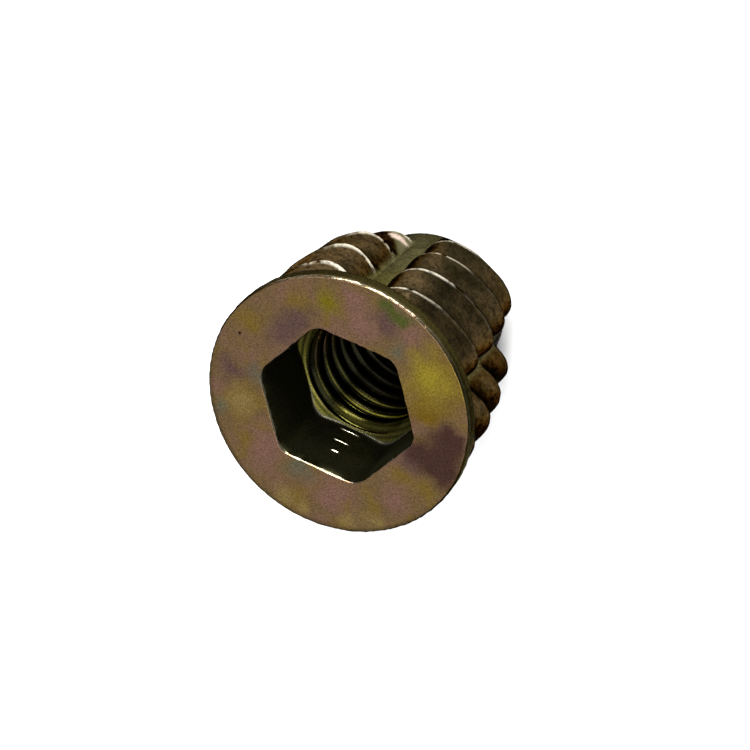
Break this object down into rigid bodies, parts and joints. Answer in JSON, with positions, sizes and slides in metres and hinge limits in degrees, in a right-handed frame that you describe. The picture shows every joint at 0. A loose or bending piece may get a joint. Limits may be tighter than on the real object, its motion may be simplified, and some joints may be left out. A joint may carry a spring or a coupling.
{
  "type": "flanged threaded insert",
  "caption": "Flanged insert nut for wood: hexagon drive socket, threaded through bore and a barrel with a coarse outer thread interrupted by axial grooves.",
  "frame": {"origin": "centre of the flat rear end, where the part stands", "axes": "+Z along the bore axis, from the rear end to the flange's face; +X through a corner of the hexagon socket"},
  "size_m": [0.0154, 0.0154, 0.0146],
  "materials": {
    "plated_zinc": "yellow passivated zinc, satin, with iridescent patches"
  },
  "bodies": {
    "root": {"insert_nut": "plated_zinc"}
  },
  "joints": []
}
